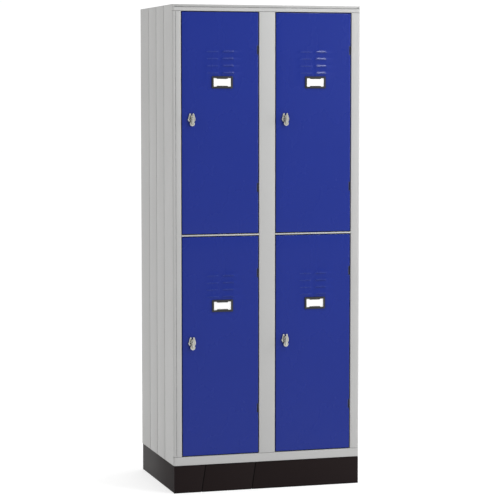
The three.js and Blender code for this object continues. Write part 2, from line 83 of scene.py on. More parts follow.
def add_camera():
    data = bpy.data.cameras.new("camera")
    data.lens = CAMERA_LENS
    data.sensor_width = 36.0
    data.clip_start = 0.1
    data.clip_end = 100.0
    camera = bpy.data.objects.new("camera", data)
    bpy.context.scene.collection.objects.link(camera)
    camera.location = CAMERA_PLACE
    camera.rotation_euler = (math.radians(90 + CAMERA_PITCH), 0, math.radians(-CAMERA_YAW))
    bpy.context.scene.camera = camera


add_camera()


# ---------------------------------------------------------------- materials


class Shader:
    """A node material, with short names for the nodes that the finishes share."""

    def __init__(self, name):
        self.material = bpy.data.materials.new(name)
        self.material.use_nodes = True
        self.tree = self.material.node_tree
        self.surface = self.tree.nodes["Principled BSDF"]
        self.place = self.node("TexCoord").outputs["Object"]

    def node(self, kind, **settings):
        made = self.tree.nodes.new("ShaderNode" + kind)
        for key, value in settings.items():
            setattr(made, key, value)
        return made

    def join(self, source, target):
        self.tree.links.new(source, target)

    def noise(self, scale, detail=2.0, stretch=(1.0, 1.0, 1.0)):
        mapping = self.node("Mapping")
        mapping.inputs["Scale"].default_value = stretch
        self.join(self.place, mapping.inputs["Vector"])
        noise = self.node("TexNoise")
        noise.inputs["Scale"].default_value = scale
        noise.inputs["Detail"].default_value = detail
        self.join(mapping.outputs["Vector"], noise.inputs["Vector"])
        return noise.outputs["Fac"]

    def spread(self, value, low, high, to_low, to_high):
        """value, stretched from the range low to high onto another range."""
        made = self.node("MapRange")
        self.join(value, made.inputs["Value"])
        made.inputs["From Min"].default_value = low
        made.inputs["From Max"].default_value = high
        made.inputs["To Min"].default_value = to_low
        made.inputs["To Max"].default_value = to_high
        return made.outputs["Result"]

    def times(self, first, second):
        made = self.node("Math", operation="MULTIPLY")
        self.join(first, made.inputs[0])
        self.join(second, made.inputs[1])
        return made.outputs["Value"]

    def blend(self, share, first, second):
        """Two colours, or sockets that give one, mixed by share."""
        made = self.node("Mix", data_type="RGBA")
        self.join(share, made.inputs["Factor"])
        for colour, socket in ((first, made.inputs[6]), (second, made.inputs[7])):
            if isinstance(colour, tuple):
                socket.default_value = (*colour, 1.0)
            else:
                self.join(colour, socket)
        return made.outputs[2]

    def edges(self, radius):
        """1 on sharp edges within radius (metres), 0 on flats."""
        bevel = self.node("Bevel", samples=4)
        bevel.inputs["Radius"].default_value = radius
        flat = self.node("NewGeometry").outputs["Normal"]
        dot = self.node("VectorMath", operation="DOT_PRODUCT")
        self.join(bevel.outputs["Normal"], dot.inputs[0])
        self.join(flat, dot.inputs[1])
        return self.spread(dot.outputs["Value"], 0.99, 0.80, 0.0, 1.0)

    def recesses(self, reach):
        """1 deep in gaps narrower than reach (metres), 0 in the open."""
        shelter = self.node("AmbientOcclusion", samples=6)
        shelter.inputs["Distance"].default_value = reach
        return self.spread(shelter.outputs["AO"], 0.35, 0.95, 1.0, 0.0)

    def bump(self, height, strength, distance, under=None):
        made = self.node("Bump")
        made.inputs["Strength"].default_value = strength
        made.inputs["Distance"].default_value = distance
        self.join(height, made.inputs["Height"])
        if under:
            self.join(under, made.inputs["Normal"])
        return made.outputs["Normal"]

    def finish(self, colour=None, roughness=None, normal=None, **fixed):
        for name, socket in (("Base Color", colour), ("Roughness", roughness), ("Normal", normal)):
            if socket:
                self.join(socket, self.surface.inputs[name])
        for name, value in fixed.items():
            self.surface.inputs[name.replace("_", " ")].default_value = value
        return self.material


RECESS_SHADE = 0.32  # painted shade: how dark the paint is made in narrow gaps and creases, against the open face


def shade(colour, factor):
    return tuple(min(1.0, channel * factor) for channel in colour)


def powder_coat(name, colour, worn_and_lit, roughness, specular):
    """Satin powder coat: orange peel, a fine grain, edges painted lighter (partly wear, partly painted
    highlight) and painted shade in its gaps and creases.
    """
    s = Shader(name)
    even_tone = s.blend(s.noise(5.0, 3.0), shade(colour, 0.96), shade(colour, 1.04))
    # painted shade: ambient occlusion darkens the paint in narrow gaps and creases, varied a little by
    # noise
    recess_shade = s.times(s.recesses(0.010), s.spread(s.noise(35.0, 3.0), 0.3, 0.7, 0.7, 1.0))
    shaded_tone = s.blend(recess_shade, even_tone, shade(colour, RECESS_SHADE))
    # partly wear, partly painted highlight: sharp edges, louvre lips among them, are painted a lighter
    # colour
    edge_wear_and_highlight = s.times(s.edges(0.0016), s.spread(s.noise(60.0, 3.0), 0.35, 0.65, 0.45, 1.0))
    handled = s.spread(s.noise(9.0, 4.0, (1.0, 1.0, 0.6)), 0.35, 0.75, roughness - 0.01, roughness + 0.02)
    peel = s.bump(s.noise(420.0, 1.0), 0.10, 0.0004)
    grain = s.bump(s.noise(2600.0, 1.0), 0.06, 0.0001, peel)
    return s.finish(s.blend(edge_wear_and_highlight, shaded_tone, worn_and_lit), handled, grain, Specular_IOR_Level=specular)


# painted highlight: the pale bluish white given to the lock's edges
ZINC_HIGHLIGHT = (0.86, 0.88, 0.97)


def cast_zinc(name, colour, roughness):
    """Satin die-cast zinc: brushed a little, with painted shade in its hollows and a painted highlight on
    its edges.
    """
    s = Shader(name)
    tone = s.blend(s.noise(120.0, 3.0), shade(colour, 0.88), shade(colour, 1.1))
    # painted highlight: edges are painted a pale bluish white
    edge_highlighted = s.blend(s.edges(0.0030), tone, ZINC_HIGHLIGHT)
    # painted shade: ambient occlusion darkens the zinc in its hollows
    hollow_shaded = s.blend(s.recesses(0.006), edge_highlighted, shade(colour, 0.30))
    rough = s.spread(s.noise(300.0, 2.0), 0.3, 0.7, roughness - 0.08, roughness + 0.1)
    pits = s.bump(s.noise(900.0, 2.0), 0.12, 0.0002)
    return s.finish(hollow_shaded, rough, pits, Metallic=0.85)


def plated_steel(name, colour, roughness):
    """Zinc-plated steel: drawn lines along its length and a cloudy passivated tint."""
    s = Shader(name)
    tint = s.blend(s.noise(40.0, 3.0), shade(colour, 0.85), shade(colour, 1.1))
    lines = s.noise(900.0, 2.0, (1.0, 1.0, 0.05))
    rough = s.spread(lines, 0.3, 0.7, roughness - 0.07, roughness + 0.1)
    return s.finish(tint, rough, s.bump(lines, 0.10, 0.0001), Metallic=0.9)


def moulded_plastic(name, colour):
    """Black moulded plastic: a fine leather-like grain and edges painted lighter, partly wear and partly
    painted sheen.
    """
    s = Shader(name)
    tone = s.blend(s.noise(30.0, 3.0), shade(colour, 0.85), shade(colour, 1.2))
    # partly wear, partly painted sheen: edges are painted lighter than the plastic
    worn_and_lit = s.blend(s.edges(0.0006), tone, shade(colour, 2.2))
    rough = s.spread(s.noise(200.0, 2.0), 0.3, 0.7, 0.38, 0.52)
    return s.finish(worn_and_lit, rough, s.bump(s.noise(1500.0, 2.0), 0.15, 0.0001))


def card_stock(name, colour):
    """White card: paper fibres and a slightly yellowed tone here and there."""
    s = Shader(name)
    fibres = s.noise(700.0, 4.0, (0.3, 1.0, 1.0))
    tone = s.blend(s.noise(25.0, 3.0), colour, shade(colour, 0.97))
    return s.finish(tone, s.spread(fibres, 0.3, 0.7, 0.75, 0.9), s.bump(fibres, 0.2, 0.0001))


FRAME_GREY = (0.426, 0.424, 0.417)
DOOR_BLUE = (0.007, 0.021, 0.208)
PLINTH_BLACK = (0.012, 0.0075, 0.0075)

# the second colour of each finish is its edge colour, lighter than the paint: partly wear, partly painted
# highlight
FRAME_PAINT = powder_coat("frame_powder_coat", FRAME_GREY, (0.62, 0.62, 0.61), 0.42, 0.30)
DOOR_PAINT = powder_coat("door_powder_coat", DOOR_BLUE, (0.09, 0.14, 0.50), 0.27, 0.21)
PLINTH_PAINT = powder_coat("plinth_powder_coat", PLINTH_BLACK, (0.04, 0.035, 0.035), 0.50, 0.07)
ZINC = cast_zinc("lock_zinc", (0.45, 0.44, 0.37), 0.28)
HINGE_STEEL = powder_coat("hinge_dark_steel", (0.008, 0.013, 0.07), (0.05, 0.05, 0.08), 0.45, 0.4)
PLATED = plated_steel("plated_steel", (0.62, 0.61, 0.58), 0.35)
LABEL_BLACK = moulded_plastic("label_black", (0.012, 0.012, 0.011))
CARD_WHITE = card_stock("label_card", (0.93, 0.93, 0.91))


# ---------------------------------------------------------------- sections and meshes


def rounded(path, fineness=15):
    """A path of (a, b) or (a, b, radius) corners as 2D points, with each radius as an arc."""
    points = []
    for i, corner in enumerate(path):
        here = Vector(corner[:2])
        radius = corner[2] if len(corner) > 2 else 0
        if not radius:
            points.append(here)
            continue
        to_last = (Vector(path[i - 1][:2]) - here).normalized()
        to_next = (Vector(path[(i + 1) % len(path)][:2]) - here).normalized()
        half = to_last.angle(to_next) / 2
        centre = here + (to_last + to_next).normalized() * (radius / math.sin(half))
        first = here + to_last * (radius / math.tan(half)) - centre
        turn = math.pi - 2 * half
        if to_last.x * to_next.y - to_last.y * to_next.x > 0:
            turn = -turn
        steps = max(3, math.ceil(abs(math.degrees(turn)) / fineness))
        for k in range(steps + 1):
            points.append(centre + Matrix.Rotation(turn * k / steps, 2) @ first)
    return points


def thickened(points, thickness):
    """The other face of a sheet whose outer face follows points: it lies to their left."""
    inner = []
    for i, here in enumerate(points):
        sides = []
        if i > 0:
            sides.append((here - points[i - 1]).normalized())
        if i < len(points) - 1:
            sides.append((points[i + 1] - here).normalized())
        normals = [Vector((-side.y, side.x)) for side in sides]
        mitre = sum(normals, Vector((0, 0)))
        inner.append(here + mitre * (len(normals) * thickness / mitre.length_squared))
    return inner


def sweep(bm, section, stations, place):
    """Carries a closed section, given as two faces of equal length, through stations."""
    outer, inner = section
    rings = []
    for station in stations:
        loop = [*outer, *reversed(inner)]
        rings.append([bm.verts.new(place(point, station)) for point in loop])
    count = len(rings[0])
    for ring, following in zip(rings, rings[1:]):
        for i in range(count):
            j = (i + 1) % count
            bm.faces.new((ring[i], ring[j], following[j], following[i]))
    for ring in (rings[0], rings[-1]):
        for i in range(len(outer) - 1):
            bm.faces.new((ring[i], ring[i + 1], ring[count - 2 - i], ring[count - 1 - i]))


def upright(point, station):
    return (point.x, point.y, station)


def sideways(point, station):
    return (station, point.x, point.y)


def sheet(path, thickness=SHEET, fineness=15):
    outer = rounded(path, fineness)
    return outer, thickened(outer, thickness)


def block(bm, low, high):
    """A plain closed block, used for parts of a larger mesh."""
    made = bmesh.ops.create_cube(bm, size=1.0)["verts"]
    size = Vector(high) - Vector(low)
    middle = (Vector(high) + Vector(low)) / 2
    bmesh.ops.transform(bm, matrix=Matrix.LocRotScale(middle, None, size), verts=made)


def slab(bm, outline, front, back):
    """An outline of (x, z) points carried from front to back."""
    near = [bm.verts.new((p[0], front, p[1])) for p in outline]
    far = [bm.verts.new((p[0], back, p[1])) for p in outline]
    bm.faces.new(near)
    bm.faces.new(list(reversed(far)))
    for i in range(len(near)):
        j = (i + 1) % len(near)
        bm.faces.new((near[j], near[i], far[i], far[j]))


def lathe(bm, profile, axis, at=(0, 0, 0), steps=32):
    """A profile of (radius, distance) points turned about an axis.

    It starts and ends on the axis, or else closes on itself.
    """
    closed = profile[0][0] > 0
    turn = {"y": Matrix.Rotation(-math.pi / 2, 4, "X"), "z": Matrix.Identity(4)}[axis]
    matrix = Matrix.Translation(at) @ turn
    rings = []
    for radius, along in profile:
        if radius == 0:
            rings.append([bm.verts.new(matrix @ Vector((0, 0, along)))])
            continue
        angles = [2 * math.pi * k / steps for k in range(steps)]
        spots = [Vector((radius * math.cos(a), radius * math.sin(a), along)) for a in angles]
        rings.append([bm.verts.new(matrix @ spot) for spot in spots])
    pairs = list(zip(rings, rings[1:]))
    if closed:
        pairs.append((rings[-1], rings[0]))
    for one, two in pairs:
        for k in range(steps):
            n = (k + 1) % steps
            around = [one[k % len(one)], one[n % len(one)], two[n % len(two)], two[k % len(two)]]
            bm.faces.new(list(dict.fromkeys(around)))


def arc(x, z, radius, start, end, steps=12):
    """Points on an arc, angles in degrees."""
    angles = [math.radians(start + (end - start) * k / steps) for k in range(steps + 1)]
    return [(x + radius * math.cos(a), z + radius * math.sin(a)) for a in angles]


def finished(name, bm, material, edge=0.0, segments=2, thickness=0.0, cuts=(), joins=(), sharp=38):
    """A mesh in metres from a bmesh in millimetres: thickened, joined, cut, and its edges eased."""
    bmesh.ops.recalc_face_normals(bm, faces=bm.faces[:])
    mesh = bpy.data.meshes.new(name)
    bm.to_mesh(mesh)
    bm.free()
    mesh.transform(Matrix.Scale(MM, 4))
    worker = bpy.data.objects.new(name, mesh)
    bpy.context.scene.collection.objects.link(worker)
    tools = []
    if thickness:
        skin = worker.modifiers.new("thickness", "SOLIDIFY")
        skin.thickness = thickness * MM
        skin.offset = -1
        skin.use_even_offset = True
    for operation, shapes in (("UNION", joins), ("DIFFERENCE", cuts)):
        for shape in shapes:
            tool = bpy.data.objects.new("tool", finished("tool", shape, material))
            bpy.context.scene.collection.objects.link(tool)
            tools.append(tool)
            step = worker.modifiers.new("boolean", "BOOLEAN")
            step.operation = operation
            step.solver = "EXACT"
            step.object = tool
    if edge:
        ease = worker.modifiers.new("edge", "BEVEL")
        ease.width = edge * MM
        ease.segments = segments
        ease.limit_method = "ANGLE"
        ease.angle_limit = math.radians(sharp)
        ease.harden_normals = False
    depsgraph = bpy.context.evaluated_depsgraph_get()
    done = bpy.data.meshes.new_from_object(worker.evaluated_get(depsgraph))
    for thing in (worker, *tools):
        bpy.data.objects.remove(thing)
    done.name = name
    done.shade_smooth()
    done.set_sharp_from_angle(angle=math.radians(sharp))
    done.materials.clear()
    done.materials.append(material)
    return done


def put(name, mesh, body, nodes=(), at=(0, 0, 0)):
    """Places a finished mesh as a piece that rides on a body and stands for CAD nodes."""
    piece = bpy.data.objects.new(name, mesh)
    bpy.context.scene.collection.objects.link(piece)
    piece.location = Vector(at) * MM
    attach(piece, body)
    if nodes:
        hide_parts(*nodes)
    return piece


# ---------------------------------------------------------------- front frame

FOLD = 2.8  # outside radius of a bend in the frame
CORNER = 8.0  # outside radius of the carcass's front corners
LAP = 9.0  # depth at which the side panels meet the frame
SEAM_START = 10.0  # from the left side to the rolled line beside the corner


def frame_post(name, path):
    low, high = corners(name)
    bm = bmesh.new()
    sweep(bm, sheet(path), [low.z, high.z], upright)
    put(name + "_folded", finished(name, bm, FRAME_PAINT, 0.2), "cabinet", [name])


def posts():
    """The three posts, with the returns and stop lips behind their faces."""
    low, high = corners("left_post")
    lip = 10.0
    depth = high.y - SHEET
    edge = high.x - lip
    frame_post("left_post", [
        (low.x, FRONT + LAP),
        (low.x, FRONT, CORNER),
        (low.x + SEAM_START, FRONT),
        (low.x + SEAM_START + 0.3, FRONT + 1.7),
        (low.x + SEAM_START + 1.9, FRONT + 1.7),
        (low.x + SEAM_START + 2.2, FRONT),
        (edge, FRONT, FOLD),
        (edge, depth, FOLD / 2),
        (high.x, depth),
    ])
    low, high = corners("middle_post")
    edge = high.x - lip
    frame_post("middle_post", [
        (low.x, depth),
        (low.x, FRONT, FOLD),
        (edge, FRONT, FOLD),
        (edge, depth, FOLD / 2),
        (high.x, depth),
    ])
    low, high = corners("right_post")
    frame_post("right_post", [
        (low.x, depth),
        (low.x, FRONT, FOLD),
        (high.x, FRONT, CORNER),
        (high.x, FRONT + LAP),
    ])


def crossbars():
    for name in ("crossbar_left", "crossbar_right"):
        low, high = corners(name)
        bm = bmesh.new()
        path = [(high.y, high.z), (low.y, high.z, 1.5), (low.y, low.z, 1.5), (high.y, low.z)]
        sweep(bm, sheet(path), [low.x, high.x], sideways)
        mesh = finished(name, bm, FRAME_PAINT, 0.2)
        put(name + "_folded", mesh, "cabinet", [name])


def around_front(half, radius, lap):
    """The plan of a rail that turns back round both front corners, as points with inward normals."""
    spots = [(Vector((-half, FRONT + lap)), Vector((1, 0)))]
    for side in (-1, 1):
        centre = Vector((side * (half - radius), FRONT + radius))
        for k in range(9):
            angle = math.radians(180 + 90 * k / 8 + (90 if side > 0 else 0))
            out = Vector((math.cos(angle), math.sin(angle)))
            spots.append((centre + out * radius, -out))
    spots.append((Vector((half, FRONT + lap)), Vector((-1, 0))))
    return spots


def on_rail(point, station):
    """A section's (depth, z) point, at a station of the rail's plan."""
    spot, inward = station
    place = spot + inward * point.x
    return (place.x, place.y, point.y)


def rails():
    """The top and bottom rails: a face carried round the corners, with flat returns behind it."""
    low, high = corners("top_rail")
    half = high.x
    face_top = corners("top_panel")[0].z - 0.3
    bm = bmesh.new()
    path = [(FOLD + 2, face_top), (0, face_top, FOLD), (0, low.z, FOLD), (FOLD + 2, low.z)]
    sweep(bm, sheet(path), around_front(half, CORNER, LAP), on_rail)
    for bottom in (low.z, face_top - SHEET):
        block(bm, (-half + LAP, FRONT + FOLD + 1, bottom), (half - LAP, high.y, bottom + SHEET))
    for side in (-1, 1):
        ring = [spot for spot in around_front(half, CORNER, LAP) if spot[0].x * side > 0]
        corner_path = [(0, high.z), (0, face_top - 0.2)]
        sweep(bm, sheet(corner_path), ring, on_rail)
    mesh = finished("top_rail", bm, FRAME_PAINT, 0.2)
    put("top_rail_folded", mesh, "cabinet", ["top_rail"])

    low, high = corners("bottom_rail")
    bm = bmesh.new()
    path = [(FOLD + 2, high.z), (0, high.z, FOLD), (0, low.z, FOLD), (FOLD + 2, low.z)]
    sweep(bm, sheet(path), around_front(half, CORNER, LAP), on_rail)
    for bottom in (high.z - SHEET, low.z):
        block(bm, (-half + LAP, FRONT + FOLD + 1, bottom), (half - LAP, high.y, bottom + SHEET))
    mesh = finished("bottom_rail", bm, FRAME_PAINT, 0.2)
    put("bottom_rail_folded", mesh, "cabinet", ["bottom_rail"])


# ---------------------------------------------------------------- carcass panels

CREASE_PITCH = 116.0
CREASE_DEPTH = 2.3
CREASE_MOUTH = 2.2  # half its width at the panel's face
CREASE_FLOOR = 1.8  # half its width at its bottom
FOOT_RADIUS = 2.5
FOOT_WIDTH = 9.0


def side_panels():
    """Side sheets with three pressed creases and a foot that folds inwards."""
    for side, name in ((-1, "side_panel_left"), (1, "side_panel_right")):
        low, high = corners(name)
        face = low.x if side < 0 else high.x
        middle = FRONT + (high.y - FRONT) / 2
        path = [(face, low.y)]
        for k in (-1, 0, 1):
            place = middle + k * CREASE_PITCH
            path.append((face, place - CREASE_MOUTH, 0.5))
            path.append((face - side * CREASE_DEPTH, place - CREASE_FLOOR, 0.3))
            path.append((face - side * CREASE_DEPTH, place + CREASE_FLOOR, 0.3))
            path.append((face, place + CREASE_MOUTH, 0.5))
        path.append((face, high.y - 0.4))
        if side < 0:
            path.reverse()
        radius = FOOT_RADIUS
        stations = [(high.z, 0.0), (low.z + radius, 0.0)]
        for k in range(1, 6):
            angle = math.radians(90 * k / 5)
            stations.append((low.z + radius * (1 - math.sin(angle)), radius * (1 - math.cos(angle))))
        stations.append((low.z, radius + FOOT_WIDTH))

        def place(point, station, side=side):
            z, inset = station
            return (point.x - side * inset, point.y, z)

        bm = bmesh.new()
        outer = rounded(path, 30)
        bm_faces = [[bm.verts.new(place(p, s)) for p in outer] for s in stations]
        for one, two in zip(bm_faces, bm_faces[1:]):
            for i in range(len(outer) - 1):
                bm.faces.new((one[i], one[i + 1], two[i + 1], two[i]))
        mesh = finished(name, bm, FRAME_PAINT, thickness=SHEET, sharp=50)
        put(name + "_pressed", mesh, "cabinet", [name])


def top_panel():
    """The flat top with rounded front corners and its front fold, which leans back."""
    low, high = corners("top_panel")
    plan = rounded([
        (low.x, low.y, CORNER),
        (low.x, high.y, 1.5),
        (high.x, high.y, 1.5),
        (high.x, low.y, CORNER),
    ])
    bm = bmesh.new()
    bottom = [bm.verts.new((p.x, p.y, high.z - SHEET)) for p in plan]
    top = [bm.verts.new((p.x, p.y, high.z)) for p in plan]
    bm.faces.new(bottom)
    bm.faces.new(top)
    for i in range(len(plan)):
        j = (i + 1) % len(plan)
        bm.faces.new((bottom[i], bottom[j], top[j], top[i]))
    end = high.x - CORNER - 0.3
    fold = [(FRONT + 6, high.z - 0.5), (FRONT + 0.3, high.z - 0.5, 1.2), (FRONT + 3, low.z)]
    sweep(bm, sheet(fold), [-end, end], sideways)
    mesh = finished("top_panel", bm, FRAME_PAINT, 0.35)
    put("top_panel_folded", mesh, "cabinet", ["top_panel"])


PLAIN_SHEETS = ["back_panel", "floor_panel", "divider_panel", "shelf_left", "shelf_right"]


def paint_node(node, material, edge):
    """Gives a CAD node its finish and eases its edges."""
    found = frame["nodes"][node]
    found.data.materials.clear()
    found.data.materials.append(material)
    ease = found.modifiers.new("edge", "BEVEL")
    ease.width = edge * MM
    ease.segments = 2
    ease.limit_method = "ANGLE"
    ease.angle_limit = math.radians(40)


# ---------------------------------------------------------------- plinth

PLINTH_SHEET = 1.5
PLINTH_FLANGE = 25.0
SEAM_TOPS = (-239.0, -45.0)  # x of the front's joints at their upper ends
SEAM_RAKE = 16.0  # how far a joint's lower end lies to the left of its upper end
SEAM_GAP = 4.2
BACKING = (4.0, 5.2)  # the strip behind the joints, from the front's face


def plinth():
    """Four folded channels. The front one is three lengths that meet at raking joints."""
    tall = corners("plinth_front")[1].z
    for name in ("plinth_front", "plinth_back", "plinth_left_side", "plinth_right_side"):
        low, high = corners(name)
        bm = bmesh.new()
        path = [(PLINTH_FLANGE, tall), (0, tall, FOLD), (0, 0, FOLD), (PLINTH_FLANGE, 0)]
        section = sheet(path, PLINTH_SHEET)
        if name in ("plinth_front", "plinth_back"):
            face, back = (low.y, 1) if name == "plinth_front" else (high.y, -1)

            def place(point, station, face=face, back=back, low=low, high=high):
                x = station(point.y)
                inset = max(0.0, point.x - PLINTH_SHEET)
                x = min(max(x, low.x + inset), high.x - inset)
                return (x, face + back * point.x, point.y)

            ends = [lambda z, x=low.x: x]
            if name == "plinth_front":
                for top in SEAM_TOPS:
                    ends.append(lambda z, x=top: x - SEAM_RAKE * (1 - z / tall) - SEAM_GAP / 2)
                    ends.append(lambda z, x=top: x - SEAM_RAKE * (1 - z / tall) + SEAM_GAP / 2)
            ends.append(lambda z, x=high.x: x)
            for start, end in zip(ends[::2], ends[1::2]):
                sweep(bm, section, [start, end], place)
            if name == "plinth_front":
                near, far = (face + depth for depth in BACKING)
                block(bm, (low.x + 60, near, 4), (high.x - 60, far, tall - 4))
        else:
            face, back = (low.x, 1) if name == "plinth_left_side" else (high.x, -1)
            near, far = low.y, high.y

            def place(point, station, face=face, back=back):
                end, sign = station
                inset = max(0.0, point.x - PLINTH_SHEET)
                return (face + back * point.x, end + sign * inset, point.y)

            sweep(bm, section, [(near, 1), (far, -1)], place)
        mesh = finished(name, bm, PLINTH_PAINT, 0.25)
        put(name + "_folded", mesh, "cabinet", [name])


# ---------------------------------------------------------------- doors
# A door is drawn from its lower left front corner: x to the right, y behind its face, z up.

DOOR_FOLD = 3.0
FLANGE = 18.0
NOTCH_WIDTH = 7.0
NOTCH_HALF = 16.5
NOTCH_DEPTH = 12.0
LOUVRE_DROPS = (140.6, 166.6, 192.6, 218.6)  # from the door's top edge to each louvre's middle
LOUVRE_OFFSETS = (-30.0, 30.0)  # from the door's middle
LOUVRE_LENGTH = 46.0
LOUVRE_RISE = 5.6  # from the slit up to where the pressing dies out
LOUVRE_SLIT = 4.0  # the slit below a louvre's middle
LOUVRE_PROUD = (1.3, 2.3)  # the left and right columns, set by how they glint


def even(start, end, step):
    """Values from start to end, no further apart than step, without the last."""
    count = max(1, math.ceil(abs(end - start) / step - 1e-6))
    return [start + (end - start) * k / count for k in range(count)]


def grid_lines(marks, step):
    """The marks in order, with even values between them."""
    marks = sorted(set(marks))
    lines = []
    for (start, _), (end, fine) in zip(marks, marks[1:]):
        lines += even(start, end, fine or step)
    return [*lines, marks[-1][0]]


class DoorShape:
    """The measures of a door, taken from the upper left one."""

    def __init__(self):
        name = DOORS[2]
        low, high = corners("door_panel_" + name)
        self.origin = Vector((low.x, FRONT, low.z))
        self.width = high.x - low.x
        self.height = high.z - low.z
        lock = joint_place(f"latch_{name}_turn") - self.origin
        self.lock = (lock.x, lock.z)
        hinges = [corners(f"hinge_{end}_of_{name}_door") for end in ("lower", "upper")]
        self.hinge_heights = [(a.z + b.z) / 2 - self.origin.z for a, b in hinges]
        pin = joint_place(f"door_{name}_hinge") - self.origin
        self.pin = (pin.x, pin.y)
        label = corners("label_card_" + name)
        middle = (label[0] + label[1]) / 2 - self.origin
        self.label = (middle.x, middle.z)
        self.louvres = [
            (self.width / 2 + offset, self.height - drop - LOUVRE_SLIT, proud)
            for drop in LOUVRE_DROPS
            for offset, proud in zip(LOUVRE_OFFSETS, LOUVRE_PROUD)
        ]


DOOR = DoorShape()


def louvre_height(x, z):
    """How far the skin is pressed out at a point above a louvre's slit."""
    for middle, slit, proud in DOOR.louvres:
        along = abs(x - middle) / (LOUVRE_LENGTH / 2)
        up = (z - slit) / LOUVRE_RISE
        if along < 1 and -1e-6 <= up < 1:
            ends = (1 - along**8) ** 0.8
            return proud * ends * (1 - max(0.0, up)) ** 1.1
    return 0.0


def on_slit(x, z):
    return any(
        abs(z - slit) < 1e-6 and abs(x - middle) < LOUVRE_LENGTH / 2 - 1e-6
        for middle, slit, _ in DOOR.louvres
    )


def door_lines():
    """The grid's lines across and up the face, closer together on the louvres."""
    across = {(DOOR_FOLD, 0), (DOOR.width - DOOR_FOLD, 0), (DOOR.width - NOTCH_WIDTH, 0)}
    for side in (-1, 1):
        across.add((DOOR.lock[0] + side * 8, 0))
    for middle in {x for x, _, _ in DOOR.louvres}:
        across.add((middle - LOUVRE_LENGTH / 2, 0))
        across.add((middle + LOUVRE_LENGTH / 2, 2.0))
    up = {(DOOR_FOLD, 0), (DOOR.height - DOOR_FOLD, 0)}
    for height in DOOR.hinge_heights:
        up |= {(height - NOTCH_HALF, 0), (height + NOTCH_HALF, 0)}
    for side in (-1, 1):
        up.add((DOOR.lock[1] + side * 8, 0))
    for slit in {z for _, z, _ in DOOR.louvres}:
        up |= {(slit, 0), (slit + LOUVRE_RISE, 1.2)}
    return grid_lines(across, 45.0), grid_lines(up, 60.0)


def in_notch(z):
    return any(abs(z - height) < NOTCH_HALF for height in DOOR.hinge_heights)


def skin_open(x, z):
    """True where the face is cut away: the lock's hole and the hinge notches."""
    in_lock = abs(x - DOOR.lock[0]) < 8 and abs(z - DOOR.lock[1]) < 8
    return in_lock or (x > DOOR.width - NOTCH_WIDTH and in_notch(z))


def door_face(bm):
    """The face, as a grid of faces. Returns its corners by (column, row) and the grid's lines."""
    xs, zs = door_lines()
    flat, raised = {}, {}
    for i, x in enumerate(xs):
        for j, z in enumerate(zs):
            pressed = -louvre_height(x, z)
            if on_slit(x, z):
                flat[i, j] = bm.verts.new((x, 0, z))
                raised[i, j] = bm.verts.new((x, pressed, z))
            else:
                flat[i, j] = bm.verts.new((x, pressed, z))
                raised[i, j] = flat[i, j]
    for i in range(len(xs) - 1):
        for j in range(len(zs) - 1):
            if skin_open((xs[i] + xs[i + 1]) / 2, (zs[j] + zs[j + 1]) / 2):
                continue
            lower = (raised[i, j], raised[i + 1, j])
            bm.faces.new((*lower, flat[i + 1, j + 1], flat[i, j + 1]))
    return flat, xs, zs


def door_flange(bm, flat, xs, zs):
    """The fold and flange round the face, open where the hinges' notches are."""
    last_x, last_z = len(xs) - 1, len(zs) - 1
    border = []

    def corner(i, j, start):
        for k in range(5):
            angle = math.radians(start + 90 * k / 4)
            border.append((i, j, math.cos(angle), math.sin(angle)))

    border += [(i, 0, 0, -1) for i in range(1, last_x)]
    corner(last_x, 0, -90)
    border += [(last_x, j, 1, 0) for j in range(1, last_z)]
    corner(last_x, last_z, 0)
    border += [(i, last_z, 0, 1) for i in range(last_x - 1, 0, -1)]
    corner(0, last_z, 90)
    border += [(0, j, -1, 0) for j in range(last_z - 1, 0, -1)]
    corner(0, 0, 180)

    bends = [math.radians(90 * k / 5) for k in range(1, 6)]
    profile = [(DOOR_FOLD * math.sin(a), DOOR_FOLD * (1 - math.cos(a))) for a in bends]
    profile += [(DOOR_FOLD, NOTCH_DEPTH), (DOOR_FOLD, FLANGE)]
    columns = []
    for i, j, out_x, out_z in border:
        column = [flat[i, j]]
        for out, depth in profile:
            column.append(bm.verts.new((xs[i] + out_x * out, depth, zs[j] + out_z * out)))
        columns.append(column)
    for k, (one, two) in enumerate(zip(columns, columns[1:] + columns[:1])):
        i, j, out_x, _ = border[k]
        next_j = border[(k + 1) % len(border)][1]
        notched = out_x == 1 and i == last_x and in_notch((zs[j] + zs[next_j]) / 2)
        for step in range(len(profile)):
            if notched and step < len(profile) - 1:
                continue
            around = (one[step], one[step + 1], two[step + 1], two[step])
            bm.faces.new(list(dict.fromkeys(around)))


def hinge_tab(bm, bottom, top):
    """A tab across the flange's corner, with the pin's hole through it."""
    left, right = DOOR.pin[0] - 7, DOOR.width - 0.6
    near, far = 0.6, DOOR.pin[1] + 6
    steps = 24
    rings = []
    for z in (bottom, top):
        square, circle = [], []
        for k in range(steps):
            angle = 2 * math.pi * k / steps
            way = Vector((math.cos(angle), math.sin(angle)))
            reach_x = (right if way.x > 0 else left) - DOOR.pin[0]
            reach_y = (far if way.y > 0 else near) - DOOR.pin[1]
            reach = min(
                reach_x / way.x if abs(way.x) > 1e-9 else 1e9,
                reach_y / way.y if abs(way.y) > 1e-9 else 1e9,
            )
            square.append(bm.verts.new((DOOR.pin[0] + way.x * reach, DOOR.pin[1] + way.y * reach, z)))
            hole = 2.25
            circle.append(bm.verts.new((DOOR.pin[0] + way.x * hole, DOOR.pin[1] + way.y * hole, z)))
        rings += [square, circle]
    for one, two in ((0, 1), (2, 3), (0, 2), (1, 3)):
        for k in range(steps):
            n = (k + 1) % steps
            bm.faces.new((rings[one][k], rings[one][n], rings[two][n], rings[two][k]))


